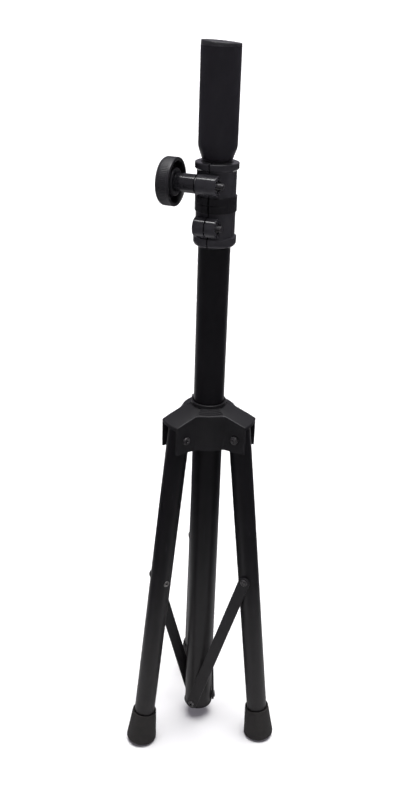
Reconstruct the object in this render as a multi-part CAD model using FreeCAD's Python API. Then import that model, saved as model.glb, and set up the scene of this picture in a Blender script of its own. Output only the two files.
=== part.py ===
import FreeCAD, Part
import math
import os

# Folding tripod stand for a loudspeaker: a mast, a sliding inner pole with a
# 35 mm head, a split clamp collar with a hand knob, and three legs that hang
# from a hub which slides on the mast, each tied to the mast's foot by a brace.
# Millimetres. Origin on the mast's axis at floor level, +Z up.

V = FreeCAD.Vector

# --- driving dimensions --------------------------------------------------
POLE_HEAD_R = 17.5          # the standard 35 mm loudspeaker pole
HEAD_END_Z = 732.8          # the tube's end, under the cap
HEAD_SHOULDER_Z = 653.4     # where the head starts to narrow
HEAD_CONE_Z = 647.0         # where the rounding turns into a cone
HEAD_FOOT_Z = 639.4
HEAD_NECK_R = 13.75
HEAD_WALL = 1.5
CAP_R = 17.4
CAP_T = 1.7
CAP_TILT = 4.0              # the cap sits a little askew, up on its -X side, degrees

POLE_R = 13.2               # inner pole, 26.4 mm tube
POLE_WALL = 1.2
POLE_FOOT_Z = 79.4
POLE_TOP_Z = 726.0

MAST_R = 15.0               # 30 mm tube
MAST_WALL = 1.3
MAST_FOOT_Z = 18.4
MAST_TOP_Z = 605.8

COLLAR_TURN = 243.7         # compass angle of the collar's slit, degrees
COLLAR_TOP_Z = 637.4
COLLAR_FOOT_Z = 562.4
COLLAR_R = 17.9
COLLAR_FLANGE_R = 19.8
BAND_R = 19.1
BAND_Z = (594.6, 608.0)
LUG_R = 8.9
LUG_NEAR = (-11.2, -9.6)    # lugs' ends on the knob's side of the slit, lower and upper clamp
LUG_FAR = (10.3, 9.3)       # lugs' ends on the nuts' side
LUG_OUT = 20.5              # bolt axis from the mast's axis
LUG_Z = (582.8, 619.9)      # lower clamp, upper clamp
BOLT_END = 14.4             # how far the bolts reach past the slit
SLIT_W = 1.4

BOLT_R = 3.0                # M6 clamp bolts
NUT_AF = 10.0
NUT_H = 5.0
NUT_IN = 6.2                # depth of the nut's pocket

KNOB_R = 21.4
KNOB_NEAR = 29.2            # knob's open side, from the slit
KNOB_FAR = 42.6             # knob's closed side, from the slit
KNOB_BOSS_R = 12.2
SLEEVE_R = 8.35

HUB_TOP_Z = 403.0
HUB_FOOT_Z = 361.4
HUB_R = 27.0                # where the front walls meet the arms' walls
HUB_EDGE_Z = 398.4          # the roof's height at that radius
HUB_CURVE_R = 45.0          # the slightly bowed walls between the arms
HUB_WALL = 2.3
HUB_ROUND = 4.0             # hollow rounding between an arm's wall and the boss
HUB_STEPS = 4               # fine steps up to the bush, between the arms
STEPS_OUT = 24.6
ARM_HALF = 13.4
ARM_WALL = 1.9
ARM_END = 47.5              # the arms' rounded ends, from the mast's axis
ARM_END_Z = 390.7
SLEEVE_OUT = 19.5           # the hub's inner sleeve, outside radius
BUSH_RING_R = 17.4
BUSH_TOP_Z = 406.4
BUSH_SLEEVE_R = 16.8
LOCK_TURN = 30.0            # azimuth of the lock screw, between two arms
LOCK_Z = 372.4
INSERT_R = 4.6
INSERT_END = 23.0
SCREW_SEAT = 26.4           # the lock screw's shoulder, from the mast's axis

LEG_R = 11.1                # 22.2 mm tube
LEG_WALL = 1.2
LEG_SPLAY = 6.5             # angle from the mast when folded, degrees
LEG_OPEN = 50.0             # how far a leg swings out from there, degrees
PIVOT_OUT = 35.0            # leg pivot from the mast's axis
PIVOT_Z = 374.7
LEG_ABOVE = 8.5             # tube above its pivot
PIVOT_R = 2.5

FOOT_TOP_R = 13.2
FOOT_BOTTOM_R = 16.5
FOOT_LEN = 38.4
FOOT_ROUND = 3.5
FOOT_SOLE = 7.0             # rubber below the tube's end

BRACE_ON_LEG = 165.4        # brace pivot from the leg's own pivot
BRACE_FOOT_Z = 24.2         # brace pivot on the mast
BRACE_W = 12.4
BRACE_T = 2.0
BRACE_FOOT_GAP = 15.9       # bar's inner face from the mast's axis
BRACE_HEAD_GAP = 11.5       # bar's inner face from the leg's axis
BRACE_PIN_R = 2.2
RIVET_HEAD_R = 3.8
TUBE_RIVET_R = 3.3          # head of the hollow rivet across a leg

PLUG_R = 15.9
PLUG_FOOT_Z = 15.8
PLUG_TOP_Z = 55.0

RUN = 0.06                  # running clearance on a radius
FIT = 0.05                  # clearance inside one rigid group

AZIMUTHS = {"left": 210.0, "right": 330.0, "rear": 90.0}

# --- worked out from them -----------------------------------------------
SPLAY = math.radians(LEG_SPLAY)
PIVOT_TO_SOLE = ((PIVOT_Z - (FOOT_BOTTOM_R - FOOT_ROUND) * math.sin(SPLAY) - FOOT_ROUND)
                 / math.cos(SPLAY) + FOOT_ROUND)
JOINT_OUT = PIVOT_OUT + BRACE_ON_LEG * math.sin(SPLAY)
JOINT_UP = PIVOT_Z - BRACE_ON_LEG * math.cos(SPLAY) - BRACE_FOOT_Z
BRACE_LEN = math.hypot(JOINT_OUT, JOINT_UP)
BRACE_LEAN = math.degrees(math.atan2(JOINT_OUT, JOINT_UP))


# --- small tools ---------------------------------------------------------
def save(name, shape):
    """Write one sub-part."""
    shape.exportStep("parts/" + name + ".step")
    print(name, "valid", shape.isValid(), "solids", len(shape.Solids), "volume", round(shape.Volume, 1))


def rod(radius, start, end):
    """A round bar between two points."""
    start = V(*start)
    way = V(*end) - start
    return Part.makeCylinder(radius, way.Length, start, way)


def tube(r_in, r_out, z0, z1):
    """A vertical tube on the Z axis."""
    return rod(r_out, (0, 0, z0), (0, 0, z1)).cut(rod(r_in, (0, 0, z0 - 1), (0, 0, z1 + 1)))


def block(x0, x1, y0, y1, z0, z1):
    """A box between two corners."""
    return Part.makeBox(x1 - x0, y1 - y0, z1 - z0, V(x0, y0, z0))


def lathe(outline):
    """Turn an outline of (radius, z) points about Z, given anticlockwise. A third value
    bulges the side that leads to that point outwards into an arc, by so many mm."""
    edges = []
    count = len(outline)
    for i in range(count):
        a = outline[i]
        b = outline[(i + 1) % count]
        start = V(a[0], 0, a[1])
        end = V(b[0], 0, b[1])
        if len(b) == 3 and b[2] != 0:
            side = V(0, 1, 0).cross(end - start)
            middle = (start + end) * 0.5 + side.normalize() * b[2]
            edges.append(Part.Arc(start, middle, end).toShape())
        else:
            edges.append(Part.makeLine(start, end))
    face = Part.Face(Part.Wire(edges))
    return face.revolve(V(0, 0, 0), V(0, 0, 1), 360)


def hexagon(across_flats, length):
    """A hexagonal prism on Z, from z = 0 up."""
    radius = across_flats / math.sqrt(3.0)
    corners = [V(radius * math.cos(math.radians(60 * k)), radius * math.sin(math.radians(60 * k)), 0)
               for k in range(7)]
    return Part.Face(Part.makePolygon(corners)).extrude(V(0, 0, length))


def turned(shape, azimuth):
    """A copy turned about the mast, from the +X spoke to the one at this azimuth."""
    copy = shape.copy()
    copy.rotate(V(0, 0, 0), V(0, 0, 1), azimuth)
    return copy


def along(shape, origin, way):
    """A copy whose own +Z points along way, with its own origin moved to origin."""
    copy = shape.copy()
    spin = FreeCAD.Rotation(V(0, 0, 1), V(*way))
    copy.Placement = FreeCAD.Placement(V(*origin), spin).multiply(copy.Placement)
    return copy


def leg_place(shape):
    """From the leg's own frame (pivot at the origin, tube down -Z, outside +X) to the +X spoke."""
    copy = shape.copy()
    spin = FreeCAD.Rotation(V(0, 1, 0), -LEG_SPLAY)
    copy.Placement = FreeCAD.Placement(V(PIVOT_OUT, 0, PIVOT_Z), spin).multiply(copy.Placement)
    return copy


def brace_place(shape):
    """From the brace's own frame (lower pivot at the origin, bar up +Z) to the +X spoke."""
    copy = shape.copy()
    spin = FreeCAD.Rotation(V(0, 1, 0), BRACE_LEAN)
    copy.Placement = FreeCAD.Placement(V(0, 0, BRACE_FOOT_Z), spin).multiply(copy.Placement)
    return copy


def domed_head(radius, height, bore):
    """A low domed rivet head standing on z = 0, with a blind hole in its top."""
    head = lathe([(0, 0), (radius, 0), (radius, 0.35 * height), (radius * 0.62, height, 0.25 * height),
                  (0, height)])
    return head.cut(rod(bore, (0, 0, 0.15 * height), (0, 0, height + 1)))


# --- inner pole and its 35 mm head --------------------------------------
def pole_head():
    outer = [(HEAD_NECK_R - 0.6, HEAD_FOOT_Z), (HEAD_NECK_R, HEAD_FOOT_Z + 0.6), (16.35, HEAD_CONE_Z),
             (POLE_HEAD_R, HEAD_SHOULDER_Z, 0.3), (POLE_HEAD_R, HEAD_END_Z)]
    inside_r = POLE_HEAD_R - HEAD_WALL
    inner = [(inside_r, HEAD_END_Z), (inside_r, HEAD_SHOULDER_Z + 1.0),
             (POLE_R + FIT, HEAD_CONE_Z - 0.5), (POLE_R + FIT, HEAD_FOOT_Z)]
    return lathe(outer + inner)


def head_cap():
    """The flat cap that closes the head, with a skirt inside the tube; not pushed quite home."""
    foot = HEAD_END_Z + 0.1
    skirt = POLE_HEAD_R - HEAD_WALL - 0.5
    cap = lathe([(0, foot), (skirt - 2.0, foot), (skirt - 2.0, foot - 4.8), (skirt, foot - 4.8), (skirt, foot),
                 (CAP_R, foot), (CAP_R, foot + CAP_T - 0.9), (CAP_R - 0.9, foot + CAP_T, 0.25),
                 (0, foot + CAP_T)])
    cap.rotate(V(CAP_R, 0, foot), V(0, 1, 0), CAP_TILT)
    return cap


def inner_pole():
    return tube(POLE_R - POLE_WALL, POLE_R, POLE_FOOT_Z, POLE_TOP_Z)


def head_spacer():
    """Ring that centres the pole's top end in the head."""
    return tube(POLE_R + FIT, POLE_HEAD_R - HEAD_WALL - FIT, POLE_TOP_Z - 26.0, POLE_TOP_Z - 2.0)


def pole_glide():
    """Plastic end of the inner pole, which runs in the mast's bore."""
    wide = MAST_R - MAST_WALL - RUN
    return lathe([(0, POLE_FOOT_Z - 14.0), (wide - 1.0, POLE_FOOT_Z - 14.0), (wide, POLE_FOOT_Z - 13.0),
                  (wide, POLE_FOOT_Z), (POLE_R - POLE_WALL - FIT, POLE_FOOT_Z),
                  (POLE_R - POLE_WALL - FIT, POLE_FOOT_Z + 16.0), (0, POLE_FOOT_Z + 16.0)])


# --- mast -----------------------------------------------------------------
def rivet_holes(radius):
    """Radial holes for the three lower brace rivets, each square to its brace."""
    holes = [turned(rod(radius, (0, -3.0, BRACE_FOOT_Z), (0, -30.0, BRACE_FOOT_Z)), azimuth)
             for azimuth in AZIMUTHS.values()]
    return holes


def mast_tube():
    shape = tube(MAST_R - MAST_WALL, MAST_R, MAST_FOOT_Z, MAST_TOP_Z)
    for hole in rivet_holes(BRACE_PIN_R + FIT):
        shape = shape.cut(hole)
    return shape


def mast_end_plug():
    """Moulded plug in the mast's foot: it carries the brace rivets."""
    inside = MAST_R - MAST_WALL - FIT
    shape = lathe([(0, PLUG_FOOT_Z), (PLUG_R - 2.6, PLUG_FOOT_Z), (PLUG_R, MAST_FOOT_Z - 0.6, 0.6),
                   (PLUG_R - 0.4, MAST_FOOT_Z), (inside, MAST_FOOT_Z), (inside, PLUG_TOP_Z), (0, PLUG_TOP_Z)])
    shape = shape.cut(rod(8.0, (0, 0, BRACE_FOOT_Z + 6.0), (0, 0, PLUG_TOP_Z + 1)))
    for hole in rivet_holes(BRACE_PIN_R + FIT):
        shape = shape.cut(hole)
    return shape


def brace_lower_rivets():
    """Three headed rivets in the mast's foot, on which the braces turn."""
    rivets = []
    for azimuth in AZIMUTHS.values():
        shank = rod(BRACE_PIN_R, (0, 0, 5.2), (0, 0, BRACE_FOOT_GAP + BRACE_T + 0.2))
        shoulder = rod(RIVET_HEAD_R, (0, 0, MAST_R + FIT), (0, 0, BRACE_FOOT_GAP - 0.1))
        head = domed_head(RIVET_HEAD_R, 1.5, 1.5)
        head.translate(V(0, 0, BRACE_FOOT_GAP + BRACE_T + 0.1))
        hollow = rod(1.5, (0, 0, MAST_R), (0, 0, 25.0))
        rivet = shank.fuse(shoulder).fuse(head).cut(hollow).removeSplitter()
        rivets.append(turned(along(rivet, (0, 0, BRACE_FOOT_Z), (0, -1, 0)), azimuth))
    return Part.makeCompound(rivets)


# --- collar and its clamps ----------------------------------------------
def bolt_frame(shape, z):
    """From the bolt's own frame (slit at the origin, +Z to the nut's side) to the collar."""
    placed = along(shape, (LUG_OUT, 0, z), (0, 1, 0))
    return turned(placed, COLLAR_TURN)


def collar_slit(z0, z1, width):
    """The vertical slit through the collar's front wall."""
    return turned(block(8.0, 40.0, -width / 2.0, width / 2.0, z0, z1), COLLAR_TURN)


def nut_pocket():
    """Hexagonal pocket with relieved corners, cut into a lug's end."""
    pocket = hexagon(NUT_AF + 0.2, NUT_IN + 1.0)
    for k in range(6):
        angle = math.radians(60 * k)
        x = 6.1 * math.cos(angle)
        y = 6.1 * math.sin(angle)
        pocket = pocket.fuse(rod(1.25, (x, y, 0), (x, y, NUT_IN + 1.0)))
    pocket.rotate(V(0, 0, 0), V(0, 0, 1), 15)
    return pocket


def height_collar():
    lower = BAND_Z[0]
    upper = BAND_Z[1]
    low_r = COLLAR_R + 0.2
    bore = MAST_R + FIT
    shape = lathe([(bore + 0.4, COLLAR_FOOT_Z), (COLLAR_FLANGE_R, COLLAR_FOOT_Z + 4.4, 1.3),
                   (COLLAR_FLANGE_R, COLLAR_FOOT_Z + 9.0), (low_r, COLLAR_FOOT_Z + 9.6), (low_r, lower),
                   (BAND_R, lower), (BAND_R, upper), (COLLAR_R, upper), (COLLAR_R, COLLAR_TOP_Z - 7.0),
                   (COLLAR_FLANGE_R, COLLAR_TOP_Z - 5.2), (COLLAR_FLANGE_R, COLLAR_TOP_Z - 0.8),
                   (COLLAR_FLANGE_R - 0.8, COLLAR_TOP_Z, 0.2), (6.0, COLLAR_TOP_Z), (6.0, COLLAR_FOOT_Z)])
    for z, near, far in zip(LUG_Z, LUG_NEAR, LUG_FAR):
        lug = rod(LUG_R, (0, 0, near), (0, 0, far))
        lug = lug.makeFillet(0.7, [e for e in lug.Edges if len(e.Vertexes) == 1])
        shape = shape.fuse(bolt_frame(lug, z))
    shape = shape.cut(rod(bore, (0, 0, COLLAR_FOOT_Z - 1), (0, 0, MAST_TOP_Z + 0.3)))
    shape = shape.cut(rod(MAST_R - 0.4, (0, 0, COLLAR_FOOT_Z), (0, 0, COLLAR_TOP_Z + 1)))
    middle = (lower + upper) / 2.0
    slot = block(0.0, 40.0, -14.0, 14.0, middle - 0.3, middle + 0.3)
    shape = shape.cut(turned(slot, COLLAR_TURN))
    shape = shape.cut(collar_slit(COLLAR_FOOT_Z - 1, middle, SLIT_W))
    shape = shape.cut(collar_slit(middle, LUG_Z[1] - LUG_R - 0.2, SLIT_W))
    shape = shape.cut(collar_slit(LUG_Z[1] - LUG_R - 0.3, LUG_Z[1] + LUG_R + 0.3, 0.15))
    shape = shape.cut(collar_slit(LUG_Z[1] + LUG_R + 0.2, COLLAR_TOP_Z + 1, SLIT_W))
    for z, near, far in zip(LUG_Z, LUG_NEAR, LUG_FAR):
        hole = rod(BOLT_R + 0.25, (0, 0, near - 1), (0, 0, far + 1))
        pocket = nut_pocket()
        pocket.translate(V(0, 0, far - NUT_IN))
        shape = shape.cut(bolt_frame(hole, z)).cut(bolt_frame(pocket, z))
    socket = rod(5.6, (0, 0, LUG_NEAR[0] - 1), (0, 0, LUG_NEAR[0] + 4.5))
    spot_face = rod(LUG_R + 0.2, (0, 0, LUG_NEAR[1] - 20), (0, 0, LUG_NEAR[1]))
    return shape.cut(bolt_frame(socket, LUG_Z[0])).cut(bolt_frame(spot_face, LUG_Z[1]))


def pole_bush():
    """Split nylon bush between the upper clamp and the inner pole."""
    shape = tube(POLE_R + RUN, MAST_R - 0.4 - FIT, MAST_TOP_Z + 0.2, COLLAR_TOP_Z + 0.2)
    return shape.cut(collar_slit(MAST_TOP_Z - 1, COLLAR_TOP_Z + 2, SLIT_W))


def nut(clear):
    """An M6 nut on Z from z = 0 up, with this clearance around the bolt."""
    body = hexagon(NUT_AF, NUT_H).common(lathe([(0, 0), (5.2, 0), (5.85, 0.5), (5.85, NUT_H - 0.5),
                                                (5.2, NUT_H), (0, NUT_H)]))
    body.rotate(V(0, 0, 0), V(0, 0, 1), 15)
    return body.cut(rod(BOLT_R + clear, (0, 0, -1), (0, 0, NUT_H + 1)))


def collar_nuts():
    """The nut of each clamp, in its pocket."""
    nuts = []
    for z, far, clear in zip(LUG_Z, LUG_FAR, (FIT, RUN)):
        piece = nut(clear)
        piece.translate(V(0, 0, far - NUT_IN + FIT))
        nuts.append(bolt_frame(piece, z))
    return Part.makeCompound(nuts)


def lower_clamp_bolt():
    """Short socket-head bolt that closes the lower clamp on the mast."""
    near = LUG_NEAR[0]
    shank = rod(BOLT_R, (0, 0, near + 4.0), (0, 0, BOLT_END - 0.4))
    ends = [e for e in shank.Edges if len(e.Vertexes) == 1 and e.CenterOfMass.z > 0]
    shank = shank.makeChamfer(0.6, ends)
    head = rod(5.2, (0, 0, near - 0.6), (0, 0, near + 4.4))
    key = hexagon(5.0, 3.0)
    key.translate(V(0, 0, near - 0.7))
    return bolt_frame(shank.fuse(head).cut(key).removeSplitter(), LUG_Z[0])


def knob_washer():
    """Washer between the upper lug and the knob's sleeve."""
    near = LUG_NEAR[1]
    ring = rod(7.0, (0, 0, near - 1.2), (0, 0, near - FIT))
    ring = ring.cut(rod(BOLT_R + RUN, (0, 0, near - 3), (0, 0, near + 1)))
    return bolt_frame(ring, LUG_Z[1])


# --- clamp knob -----------------------------------------------------------
def knob_sleeve():
    """Spacer sleeve that stands the knob off from the collar."""
    ring = rod(SLEEVE_R, (0, 0, -KNOB_NEAR - 0.5), (0, 0, LUG_NEAR[1] - 1.5))
    ring = ring.cut(rod(BOLT_R + FIT, (0, 0, -KNOB_FAR), (0, 0, 0)))
    return bolt_frame(ring, LUG_Z[1])


def clamp_knob():
    """Cup-shaped hand knob, open towards the mast."""
    back = -KNOB_FAR
    near = -KNOB_NEAR
    cup = lathe([(0, back), (KNOB_R - 4.4, back), (KNOB_R - 0.9, back + 3.0, 1.0), (KNOB_R, near - 1.8),
                 (KNOB_R - 1.6, near, 0.5), (KNOB_R - 2.8, near), (KNOB_R - 3.6, back + 6.5),
                 (KNOB_R - 5.6, back + 4.4, -0.6), (12.8, back + 4.4), (KNOB_BOSS_R, near - 0.6),
                 (0, near - 0.6)])
    cup = cup.cut(rod(BOLT_R + FIT, (0, 0, back + 2.5), (0, 0, 0)))
    return bolt_frame(cup, LUG_Z[1])


def knob_bolt():
    """The clamp's M6 bolt, fast in the knob and screwed through the nut."""
    shank = rod(BOLT_R, (0, 0, -KNOB_FAR + 2.6), (0, 0, BOLT_END))
    ends = [e for e in shank.Edges if len(e.Vertexes) == 1 and e.CenterOfMass.z > 0]
    return bolt_frame(shank.makeChamfer(0.6, ends), LUG_Z[1])


# --- hub --------------------------------------------------------------------
def hub_roof(radius):
    """Height of the hub's conical roof at this distance from the mast's axis."""
    slope = (HUB_EDGE_Z - ARM_END_Z) / (ARM_END - HUB_R)
    return HUB_EDGE_Z + slope * (HUB_R - radius)


def between_arms(inset):
    """The rounded triangle whose three bowed sides close the gaps between the arms."""
    reach = HUB_R * math.cos(math.asin(ARM_HALF / HUB_R))
    centre = reach - math.sqrt(HUB_CURVE_R ** 2 - ARM_HALF ** 2)
    shape = None
    for azimuth in AZIMUTHS.values():
        disc = rod(HUB_CURVE_R - inset, (centre, 0, HUB_FOOT_Z), (centre, 0, HUB_TOP_Z + 8.0))
        disc = turned(disc, azimuth + 60.0)
        shape = disc if shape is None else shape.common(disc)
    return shape


def hub_plan():
    """The hub seen from above, as a tall block: bowed sides and three arms."""
    plan = between_arms(0.0)
    for azimuth in AZIMUTHS.values():
        arm = block(0, ARM_END + 5, -ARM_HALF, ARM_HALF, HUB_FOOT_Z, HUB_TOP_Z + 8.0)
        plan = plan.fuse(turned(arm, azimuth))
    plan = plan.removeSplitter()
    corners = []
    for edge in plan.Edges:
        middle = edge.CenterOfMass
        if edge.BoundBox.ZLength > 40 and abs(math.hypot(middle.x, middle.y) - HUB_R) < 0.1:
            corners.append(edge)
    return plan.makeFillet(HUB_ROUND, corners)


def arm_sector():
    """The sixth of the circle about the +X spoke, as a tall wedge."""
    side = 100.0 * math.tan(math.radians(30))
    corners = [V(0, 0, 0), V(100.0, side, 0), V(100.0, -side, 0), V(0, 0, 0)]
    return Part.Face(Part.makePolygon(corners)).extrude(V(0, 0, HUB_TOP_Z + 10))


def hub_body():
    """The hub's middle, with fine round steps up to the bush."""
    start_z = hub_roof(STEPS_OUT) - 0.2
    outline = [(0, HUB_FOOT_Z), (ARM_END, HUB_FOOT_Z), (ARM_END, ARM_END_Z - 0.3), (HUB_R, HUB_EDGE_Z - 0.2)]
    tread = (STEPS_OUT - BUSH_RING_R - 0.4) / HUB_STEPS
    rise = (HUB_TOP_Z - start_z) / HUB_STEPS
    outline.append((STEPS_OUT, start_z))
    for k in range(1, HUB_STEPS + 1):
        outline.append((STEPS_OUT - (k - 0.25) * tread, start_z + (k - 1) * rise + 0.12))
        outline.append((STEPS_OUT - k * tread, start_z + k * rise, 0.1))
    outline.append((0, HUB_TOP_Z))
    body = lathe(outline).common(hub_plan())
    plain = rod(STEPS_OUT, (0, 0, HUB_EDGE_Z - 8.0), (0, 0, HUB_TOP_Z + 8.0)).common(arm_sector())
    for azimuth in AZIMUTHS.values():
        body = body.cut(turned(plain, azimuth))
    return body


def hub_arm():
    """One arm as a solid on the +X spoke: straight sides, conical roof, round end."""
    inside = BUSH_RING_R - 1.0
    solid = lathe([(inside, HUB_FOOT_Z), (ARM_END, HUB_FOOT_Z), (ARM_END, ARM_END_Z),
                   (inside, hub_roof(inside))])
    solid = solid.common(block(0, ARM_END + 5, -ARM_HALF, ARM_HALF, HUB_FOOT_Z, HUB_TOP_Z + 8))
    roof_edges = [e for e in solid.Edges if e.BoundBox.ZMin > ARM_END_Z - 0.1 and e.BoundBox.XMax > ARM_END - 3]
    return solid.makeFillet(0.7, roof_edges).common(arm_sector())


def hub_arm_hollow():
    """The space inside an arm for the leg: open at the arm's end and below."""
    under = ARM_WALL + 1.2
    reach = ARM_END + 4.0
    half = ARM_HALF - ARM_WALL
    space = lathe([(SLEEVE_OUT, HUB_FOOT_Z - 1), (reach, HUB_FOOT_Z - 1), (reach, hub_roof(reach) - under),
                   (SLEEVE_OUT, hub_roof(SLEEVE_OUT) - under)])
    return space.common(block(0, reach, -half, half, HUB_FOOT_Z - 2, HUB_TOP_Z + 8))


def leg_hub():
    """The moulded leg housing: a sleeve round the mast and three open arms."""
    shape = hub_body()
    for azimuth in AZIMUTHS.values():
        shape = shape.fuse(turned(hub_arm(), azimuth))
    pocket = between_arms(HUB_WALL).cut(rod(SLEEVE_OUT, (0, 0, 300), (0, 0, 450)))
    pocket = pocket.cut(block(-60, 60, -60, 60, HUB_EDGE_Z - 3.0, 450))
    pocket.translate(V(0, 0, -0.5))
    for azimuth in AZIMUTHS.values():
        pocket = pocket.cut(turned(block(0, 60, -ARM_HALF, ARM_HALF, 300, 450), azimuth))
    pocket = pocket.cut(lock_axis(6.5, 0.0, 40.0))
    shape = shape.cut(pocket)
    for azimuth in AZIMUTHS.values():
        shape = shape.cut(turned(hub_arm_hollow(), azimuth))
        pin = rod(PIVOT_R + FIT, (PIVOT_OUT, -20, PIVOT_Z), (PIVOT_OUT, 20, PIVOT_Z))
        seat = rod(4.4, (PIVOT_OUT, -ARM_HALF + 0.9, PIVOT_Z), (PIVOT_OUT, -20, PIVOT_Z))
        shape = shape.cut(turned(pin, azimuth)).cut(turned(seat, azimuth))
    shape = shape.cut(rod(BUSH_RING_R + 0.4, (0, 0, HUB_TOP_Z), (0, 0, HUB_TOP_Z + 10)))
    shape = shape.cut(rod(BUSH_SLEEVE_R + FIT, (0, 0, HUB_FOOT_Z - 1), (0, 0, HUB_TOP_Z + 10)))
    shape = shape.cut(lock_axis(INSERT_R + FIT, 10.0, INSERT_END))
    return shape.cut(lock_axis(BOLT_R + 0.4, 10.0, 40.0)).removeSplitter()


def lock_axis(radius, x0, x1):
    """A round bar along the lock screw's axis, between two distances from the mast's axis."""
    return turned(rod(radius, (x0, 0, LOCK_Z), (x1, 0, LOCK_Z)), LOCK_TURN)


def hub_bush():
    """Nylon bush that runs on the mast; its ring stands above the hub."""
    inside = MAST_R + RUN
    shape = lathe([(inside, HUB_FOOT_Z + 2.0), (BUSH_SLEEVE_R, HUB_FOOT_Z + 2.0), (BUSH_SLEEVE_R, HUB_TOP_Z + 0.1),
                   (BUSH_RING_R, HUB_TOP_Z + 0.1), (BUSH_RING_R, BUSH_TOP_Z - 0.7),
                   (BUSH_RING_R - 0.7, BUSH_TOP_Z, 0.2), (inside + 1.0, BUSH_TOP_Z), (inside, BUSH_TOP_Z - 1.2)])
    return shape.cut(lock_axis(BOLT_R + 0.4, 10.0, 40.0))


def lock_insert():
    """Threaded insert in the hub's sleeve for the lock screw."""
    shape = lock_axis(INSERT_R, BUSH_SLEEVE_R + 0.5, INSERT_END - 0.1)
    return shape.cut(lock_axis(BOLT_R + RUN, 10.0, 40.0))


def lock_screw():
    """Small thumb screw that holds the hub on the mast."""
    seat = SCREW_SEAT
    screw = lathe([(0, MAST_R + 0.35), (BOLT_R, MAST_R + 0.35), (BOLT_R, seat), (5.0, seat), (5.0, seat + 1.0),
                   (7.4, seat + 1.5), (7.4, seat + 7.8), (6.4, seat + 8.8, 0.3), (0, seat + 8.8)])
    for k in range(12):
        angle = math.radians(30 * k)
        flute = rod(0.9, (7.8 * math.cos(angle), 7.8 * math.sin(angle), seat + 0.6),
                    (7.8 * math.cos(angle), 7.8 * math.sin(angle), seat + 9.6))
        screw = screw.cut(flute)
    return turned(along(screw, (0, 0, LOCK_Z), (1, 0, 0)), LOCK_TURN)


def pivot_bolts():
    """Headed pins on which the legs turn, one across each arm."""
    bolts = []
    for azimuth in AZIMUTHS.values():
        shank = rod(PIVOT_R, (0, 0, -ARM_HALF - 3.4), (0, 0, ARM_HALF + 0.3))
        head = domed_head(3.9, 1.9, 1.9)
        head.translate(V(0, 0, ARM_HALF + 0.1))
        bolt = shank.fuse(head).cut(rod(1.9, (0, 0, ARM_HALF - 0.6), (0, 0, ARM_HALF + 4))).removeSplitter()
        bolts.append(turned(along(bolt, (PIVOT_OUT, 0, PIVOT_Z), (0, 1, 0)), azimuth))
    return Part.makeCompound(bolts)


def pivot_nuts():
    """The nuts of the pivot bolts, seated in the arms' other sides."""
    nuts = []
    for azimuth in AZIMUTHS.values():
        piece = hexagon(7.2, 2.9).cut(rod(PIVOT_R + FIT, (0, 0, -1), (0, 0, 5)))
        placed = along(piece, (PIVOT_OUT, -ARM_HALF + 0.85, PIVOT_Z), (0, -1, 0))
        nuts.append(turned(placed, azimuth))
    return Part.makeCompound(nuts)


# --- legs -------------------------------------------------------------------
def leg_tube():
    shape = tube(LEG_R - LEG_WALL, LEG_R, -PIVOT_TO_SOLE + FOOT_SOLE, LEG_ABOVE)
    shape = shape.cut(rod(PIVOT_R + 0.4, (0, -20, 0), (0, 20, 0)))
    shape = shape.cut(rod(BRACE_PIN_R + FIT, (0, -20, -BRACE_ON_LEG), (0, 20, -BRACE_ON_LEG)))
    return leg_place(shape)


def leg_bush():
    """Plastic plug in the tube's top end, bored for the pivot bolt."""
    inside = LEG_R - LEG_WALL - FIT
    shape = lathe([(0, -16.0), (inside, -16.0), (inside, LEG_ABOVE + 0.1), (LEG_R - 0.3, LEG_ABOVE + 0.1),
                   (LEG_R - 0.3, LEG_ABOVE + 1.0), (0, LEG_ABOVE + 1.0)])
    return leg_place(shape.cut(rod(PIVOT_R + RUN, (0, -20, 0), (0, 20, 0))))


def leg_rivet():
    """Tubular rivet across the leg at the brace, with a low hollow head."""
    shank = rod(BRACE_PIN_R, (0, 0, -LEG_R - 0.2), (0, 0, BRACE_HEAD_GAP - 0.7))
    head = domed_head(TUBE_RIVET_R, 0.8, 1.5)
    head.rotate(V(0, 0, 0), V(1, 0, 0), 180)
    head.translate(V(0, 0, -LEG_R - 0.1))
    rivet = shank.fuse(head).cut(rod(1.5, (0, 0, -LEG_R - 3), (0, 0, -LEG_R + 4)))
    return leg_place(along(rivet.removeSplitter(), (0, 0, -BRACE_ON_LEG), (0, -1, 0)))


def foot():
    """Tapered rubber foot pushed over the tube's end."""
    sole = -PIVOT_TO_SOLE
    flat = FOOT_BOTTOM_R - FOOT_ROUND
    top = sole + FOOT_LEN
    bulge = FOOT_ROUND * (1.0 - math.sqrt(0.5))
    shape = lathe([(0, sole), (flat, sole), (FOOT_BOTTOM_R, sole + FOOT_ROUND, bulge),
                   (FOOT_TOP_R, top - 0.8), (FOOT_TOP_R - 0.7, top, 0.2), (LEG_R + 0.9, top),
                   (LEG_R + 0.9, top - 1.6), (LEG_R + FIT, top - 2.4), (LEG_R + FIT, sole + FOOT_SOLE - FIT),
                   (0, sole + FOOT_SOLE - FIT)])
    return leg_place(shape)


# --- braces -----------------------------------------------------------------
def is_across(edge):
    """True for an edge that runs through the bar's thickness or straight across its width."""
    box = edge.BoundBox
    through = box.XLength < 0.05 and box.ZLength < 1.0
    bend = box.YLength < 0.05 and box.ZLength < 0.05
    return through or bend


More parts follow.
